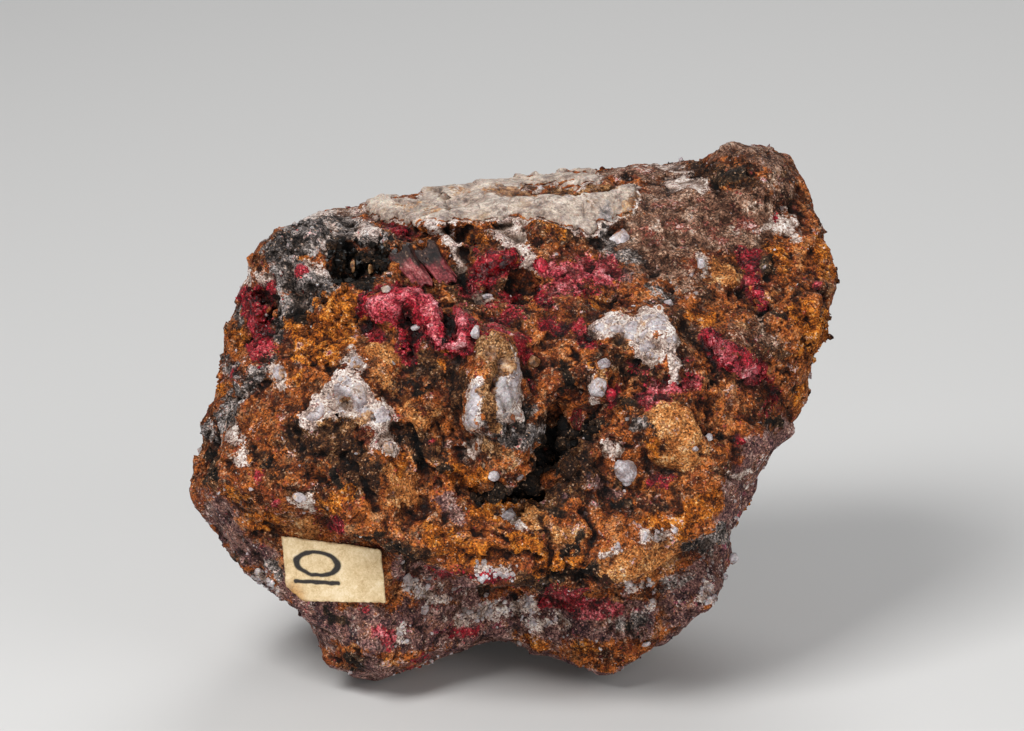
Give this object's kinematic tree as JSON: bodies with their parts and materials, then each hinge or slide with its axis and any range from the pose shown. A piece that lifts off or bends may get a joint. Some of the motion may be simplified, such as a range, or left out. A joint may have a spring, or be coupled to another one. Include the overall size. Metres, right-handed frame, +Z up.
{
  "type": "cuprite on matrix",
  "caption": "Rough mineral hand specimen: an iron-stained gossan lump with red cuprite crusts and blocks, milky quartz, a deep vug and a small glued paper number slip.",
  "frame": {"origin": "under the middle of the specimen, on the surface it stands on", "axes": "+X to the right along the specimen's length, +Y away from the viewer of its red face, +Z up"},
  "size_m": [0.0888, 0.0658, 0.0692],
  "materials": {
    "gossan": "rough, earthy",
    "quartz": "waxy",
    "cuprite": "adamantine to velvety",
    "paper": "matt, aged"
  },
  "bodies": {
    "root": {"matrix": "gossan", "quartz_slab": "quartz", "quartz_knob": "quartz", "quartz_patch_left": "quartz", "quartz_patch_right": "quartz", "cuprite_curl": "cuprite", "cuprite_ruby": "cuprite", "cuprite_streak": "cuprite", "cuprite_pocket": "cuprite", "cuprite_flank": "cuprite", "cuprite_block_left": "cuprite", "cuprite_block_right": "cuprite", "number_slip": "paper"}
  },
  "joints": []
}
